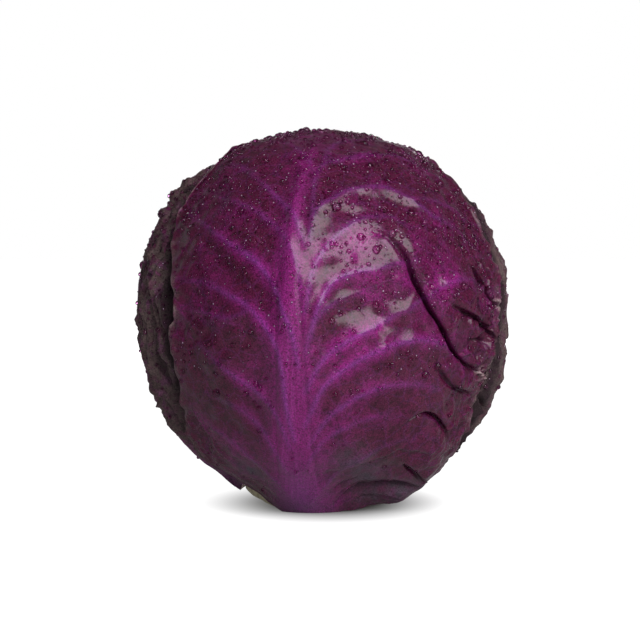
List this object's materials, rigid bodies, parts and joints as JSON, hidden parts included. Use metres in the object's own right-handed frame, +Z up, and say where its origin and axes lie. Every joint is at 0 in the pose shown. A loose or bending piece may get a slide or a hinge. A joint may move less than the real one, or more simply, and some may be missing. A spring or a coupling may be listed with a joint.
{
  "type": "red cabbage head",
  "caption": "Whole head of red cabbage: overlapping waxy leaves with branching ribs, wrapped tight round a heart, standing on its trimmed stem.",
  "frame": {"origin": "centre of the stem's cut face, on the surface that the head stands on", "axes": "+Z up the stem to the crown, -Y towards the front leaf's midrib, +X to the right seen from the front"},
  "size_m": [0.1602, 0.1567, 0.1653],
  "materials": {
    "outer_leaf": "dark purple leaf skin, waxy and half glossy, with magenta ribs and violet veins",
    "inner_leaf": "paler purple leaf skin, satin",
    "stem_flesh": "cream cut flesh, fibrous and matte",
    "water": "clear water drops lying on the leaves"
  },
  "bodies": {
    "root": {"leaf_1_front": "outer_leaf", "leaf_2_right_rear": "outer_leaf", "leaf_3_left": "outer_leaf", "leaf_4_right_front": "outer_leaf", "leaf_5_rear": "outer_leaf", "leaf_6_left_front": "inner_leaf", "leaf_7_right": "inner_leaf", "leaf_8_left_rear": "inner_leaf", "heart": "inner_leaf", "stem": "stem_flesh"}
  },
  "joints": []
}
